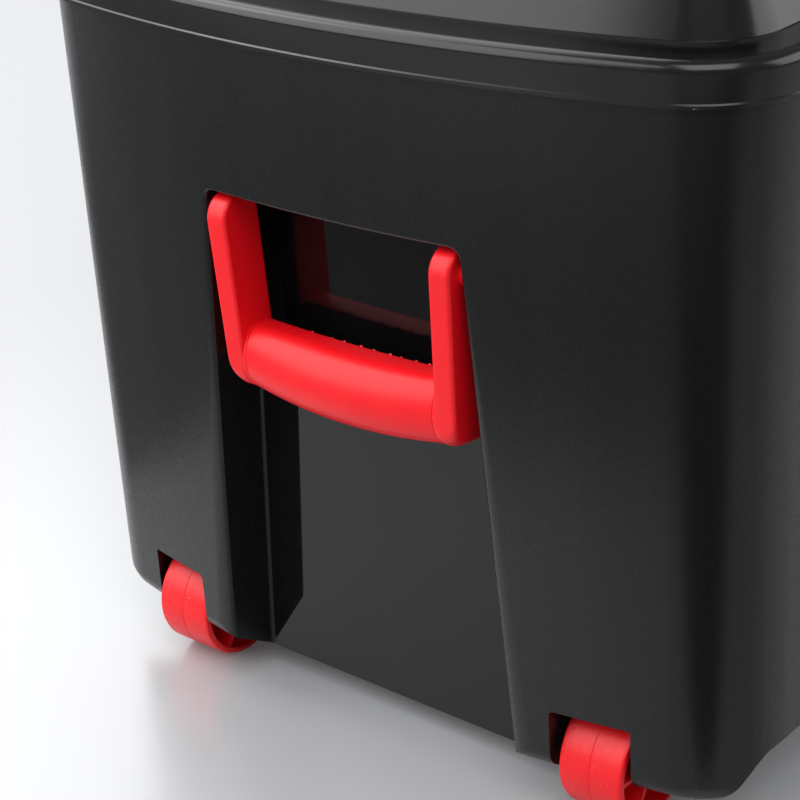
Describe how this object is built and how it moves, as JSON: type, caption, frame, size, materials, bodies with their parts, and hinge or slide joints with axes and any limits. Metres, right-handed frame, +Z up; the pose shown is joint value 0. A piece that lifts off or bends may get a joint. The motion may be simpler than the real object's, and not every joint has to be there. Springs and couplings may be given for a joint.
{
  "type": "storage bin",
  "caption": "Wheeled storage bin in dark plastic with a hinged domed lid, side latches and a swing handle set in a tall recess at each end.",
  "frame": {"origin": "middle of the rectangle that the bin stands on, at ground height", "axes": "+Z up; X along the length, the wheeled end at -X; Y across, the lid's hinges at +Y and its latches at -Y"},
  "size_m": [0.8, 0.432, 0.3956],
  "materials": {
    "tub_black": "fine satin grain on the walls, polished in the recesses",
    "lid_black": "smooth semi-gloss",
    "handle_red": "satin",
    "wheel_red": "satin",
    "latch_red": "satin",
    "pin_steel": "drawn wire"
  },
  "bodies": {
    "tub": {"tub": "tub_black", "axle_left": "pin_steel", "axle_right": "pin_steel", "hinge_pin_left": "pin_steel", "hinge_pin_right": "pin_steel", "latch_pin_left": "pin_steel", "latch_pin_right": "pin_steel"},
    "lid": {"lid": "lid_black"},
    "wheel_left": {"wheel_left": "wheel_red"},
    "wheel_right": {"wheel_right": "wheel_red"},
    "front_handle": {"front_handle_arm_left": "handle_red", "front_handle_arm_right": "handle_red", "front_handle_grip": "handle_red"},
    "rear_handle": {"rear_handle_arm_left": "handle_red", "rear_handle_arm_right": "handle_red", "rear_handle_grip": "handle_red"},
    "latch_left": {"latch_left": "latch_red"},
    "latch_right": {"latch_right": "latch_red"}
  },
  "joints": [
    {"name": "lid_hinge", "type": "hinge", "parent": "tub", "child": "lid", "pos_m": [0, 0.2085, 0.3389], "axis": [-1, 0, 0], "range_deg": [0, 98]},
    {"name": "front_handle_swing", "type": "hinge", "parent": "tub", "child": "front_handle", "pos_m": [-0.3853, 0, 0.255], "axis": [0, 1, 0], "range_deg": [-5, 98]},
    {"name": "rear_handle_swing", "type": "hinge", "parent": "tub", "child": "rear_handle", "pos_m": [0.3853, 0, 0.255], "axis": [0, -1, 0], "range_deg": [-5, 98]},
    {"name": "wheel_left_spin", "type": "hinge", "parent": "tub", "child": "wheel_left", "pos_m": [-0.35725, 0.1252, 0.028], "axis": [0, 1, 0], "continuous": true},
    {"name": "wheel_right_spin", "type": "hinge", "parent": "tub", "child": "wheel_right", "pos_m": [-0.35725, -0.1252, 0.028], "axis": [0, 1, 0], "continuous": true},
    {"name": "latch_left_swing", "type": "hinge", "parent": "tub", "child": "latch_left", "pos_m": [-0.2, -0.20215, 0.3059], "axis": [-1, 0, 0], "range_deg": [0, 178]},
    {"name": "latch_right_swing", "type": "hinge", "parent": "tub", "child": "latch_right", "pos_m": [0.2, -0.20215, 0.3059], "axis": [-1, 0, 0], "range_deg": [0, 178]}
  ]
}
